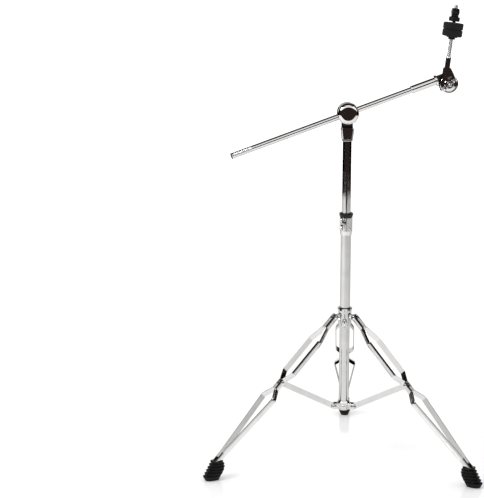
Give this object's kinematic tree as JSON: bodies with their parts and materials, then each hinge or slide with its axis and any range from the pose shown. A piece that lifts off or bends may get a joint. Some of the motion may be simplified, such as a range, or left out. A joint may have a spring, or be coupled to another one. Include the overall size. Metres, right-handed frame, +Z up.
{
  "type": "cymbal boom stand",
  "caption": "Cymbal boom stand: folding double-braced tripod, telescoping column, tilting and sliding boom arm, ratchet tilter with felts and T nut.",
  "frame": {"origin": "bottom centre of the standing pose's box, on the floor", "axes": "+Z up; +X along the boom's plan direction, towards the cymbal; -Y the front, where the ratchet's wing nut faces"},
  "size_m": [0.5968, 0.5416, 1.0065],
  "materials": {
    "chrome_tube": "mirror chrome plate",
    "chrome_strip": "chrome plate on pressed strip",
    "chrome_casting": "chrome plate on castings",
    "chrome_hardware": "plated nuts, pins and washers",
    "threaded_steel": "plated rod with a rolled thread",
    "black_nylon": "moulded nylon",
    "black_plastic": "moulded plastic",
    "black_felt": "pressed wool felt",
    "foot_rubber": "ribbed black rubber"
  },
  "bodies": {
    "column": {"base_tube": "chrome_tube", "height_collar": "chrome_casting", "height_bushing": "black_nylon", "collar_rivet": "chrome_hardware", "brace_hub": "chrome_casting", "brace_hub_pins": "chrome_hardware", "hub_set_screw": "chrome_hardware"},
    "height_bolt": {"height_wing_bolt": "chrome_hardware"},
    "leg_collar": {"leg_collar": "chrome_casting", "leg_collar_liner": "black_nylon", "leg_hinge_pins": "chrome_hardware"},
    "leg_bolt": {"leg_wing_bolt": "chrome_hardware"},
    "upper_tube": {"upper_tube": "chrome_tube", "upper_tube_plug": "black_nylon"},
    "boom_base": {"neck_ring": "chrome_casting", "tilter_neck": "chrome_casting", "tilter_washer": "chrome_hardware"},
    "boom_clamp": {"clamp_drum": "chrome_casting", "clamp_cap": "chrome_casting", "eye_bolt": "chrome_hardware"},
    "clamp_nut": {"tilter_wing_nut": "chrome_hardware"},
    "boom": {"boom_tube": "chrome_tube", "boom_end_plug": "black_nylon"},
    "tilter": {"ratchet_socket": "chrome_tube", "ratchet_lower": "chrome_casting", "ratchet_bolt": "chrome_hardware", "ratchet_washer": "chrome_hardware"},
    "ratchet_nut": {"ratchet_wing_nut": "chrome_hardware"},
    "cymbal_arm": {"ratchet_upper": "chrome_casting", "rod_sleeve": "chrome_hardware", "cymbal_rod": "threaded_steel", "seat_washer": "chrome_hardware", "felt_sleeve": "black_nylon", "lower_felt": "black_felt"},
    "upper_felt": {"upper_felt": "black_felt"},
    "top_nut": {"top_nut": "black_plastic", "top_nut_insert": "chrome_hardware"},
    "right_leg": {"right_leg_strip_a": "chrome_strip", "right_leg_strip_b": "chrome_strip", "right_leg_rivets": "chrome_hardware", "right_foot": "foot_rubber"},
    "right_brace": {"right_brace": "chrome_strip", "right_brace_bush": "chrome_hardware"},
    "back_leg": {"back_leg_strip_a": "chrome_strip", "back_leg_strip_b": "chrome_strip", "back_leg_rivets": "chrome_hardware", "back_foot": "foot_rubber"},
    "back_brace": {"back_brace": "chrome_strip", "back_brace_bush": "chrome_hardware"},
    "left_leg": {"left_leg_strip_a": "chrome_strip", "left_leg_strip_b": "chrome_strip", "left_leg_rivets": "chrome_hardware", "left_foot": "foot_rubber"},
    "left_brace": {"left_brace": "chrome_strip", "left_brace_bush": "chrome_hardware"}
  },
  "joints": [
    {"name": "collar_slide", "type": "slide", "parent": "column", "child": "leg_collar", "axis": [0, 0, 1], "range_m": [0, 0.13169]},
    {"name": "height_slide", "type": "slide", "parent": "column", "child": "upper_tube", "axis": [0, 0, 1], "range_m": [-0.145, 0.19]},
    {"name": "boom_swivel", "type": "hinge", "parent": "upper_tube", "child": "boom_base", "pos_m": [0.01251, -0.07223, 0.721], "axis": [0, 0, 1], "continuous": true},
    {"name": "boom_tilt", "type": "hinge", "parent": "boom_base", "child": "boom_clamp", "pos_m": [0.01251, -0.08073, 0.777], "axis": [0, -1, 0], "range_deg": [-70.4, 29.6]},
    {"name": "boom_slide", "type": "slide", "parent": "boom_clamp", "child": "boom", "axis": [0.9373, 0, 0.3486], "range_m": [-0.112, 0.225]},
    {"name": "boom_roll", "type": "hinge", "parent": "boom", "child": "tilter", "pos_m": [0.14654, -0.08073, 0.82685], "axis": [0.9373, 0, 0.3486], "continuous": true},
    {"name": "ratchet_tilt", "type": "hinge", "parent": "tilter", "child": "cymbal_arm", "pos_m": [0.22582, -0.08073, 0.84032], "axis": [0, -1, 0], "range_deg": [-110, 20]},
    {"name": "upper_felt_lift", "type": "slide", "parent": "cymbal_arm", "child": "upper_felt", "axis": [0.1219, 0, 0.9925], "range_m": [0, 0.0029]},
    {"name": "top_nut_spin", "type": "hinge", "parent": "cymbal_arm", "child": "top_nut", "pos_m": [0.23298, -0.08643, 0.97254], "axis": [0.1219, 0, 0.9925], "range_deg": [0, 990]},
    {"name": "ratchet_nut_spin", "type": "hinge", "parent": "tilter", "child": "ratchet_nut", "pos_m": [0.22582, -0.08073, 0.84032], "axis": [0, -1, 0], "range_deg": [0, 630]},
    {"name": "clamp_nut_spin", "type": "hinge", "parent": "boom_clamp", "child": "clamp_nut", "pos_m": [0.01251, -0.07223, 0.777], "axis": [0, 1, 0], "range_deg": [0, 630]},
    {"name": "height_bolt_spin", "type": "hinge", "parent": "column", "child": "height_bolt", "pos_m": [0.01251, -0.07223, 0.539], "axis": [-0.4226, -0.9063, 0], "range_deg": [0, 630]},
    {"name": "leg_bolt_spin", "type": "hinge", "parent": "leg_collar", "child": "leg_bolt", "pos_m": [0.01251, -0.07223, 0.319], "axis": [-0.0872, -0.9962, 0], "range_deg": [0, 630]},
    {"name": "right_leg_fold", "type": "hinge", "parent": "leg_collar", "child": "right_leg", "pos_m": [0.03317, -0.08631, 0.329], "axis": [0.5635, 0.8261, 0], "range_deg": [0, 41.81]},
    {"name": "right_brace_fold", "type": "hinge", "parent": "column", "child": "right_brace", "pos_m": [0.03399, -0.08688, 0.1255], "axis": [-0.5635, -0.8261, 0], "range_deg": [0, 58.19]},
    {"name": "back_leg_fold", "type": "hinge", "parent": "leg_collar", "child": "back_leg", "pos_m": [0.01439, -0.0473, 0.329], "axis": [-0.9972, 0.075, 0], "range_deg": [0, 41.81]},
    {"name": "back_brace_fold", "type": "hinge", "parent": "column", "child": "back_brace", "pos_m": [0.01446, -0.0463, 0.1255], "axis": [0.9972, -0.075, 0], "range_deg": [0, 58.19]},
    {"name": "left_leg_fold", "type": "hinge", "parent": "leg_collar", "child": "left_leg", "pos_m": [-0.01001, -0.08307, 0.329], "axis": [0.4337, -0.9011, 0], "range_deg": [0, 41.81]},
    {"name": "left_brace_fold", "type": "hinge", "parent": "column", "child": "left_brace", "pos_m": [-0.01091, -0.0835, 0.1255], "axis": [-0.4337, 0.9011, 0], "range_deg": [0, 58.19]}
  ],
  "couplings": [
    {"joint": "right_leg_fold", "follows": "collar_slide", "rad_per_m": 5.5398},
    {"joint": "right_brace_fold", "follows": "collar_slide", "rad_per_m": 7.7103},
    {"joint": "back_leg_fold", "follows": "collar_slide", "rad_per_m": 5.5398},
    {"joint": "back_brace_fold", "follows": "collar_slide", "rad_per_m": 7.7103},
    {"joint": "left_leg_fold", "follows": "collar_slide", "rad_per_m": 5.5398},
    {"joint": "left_brace_fold", "follows": "collar_slide", "rad_per_m": 7.7103}
  ]
}
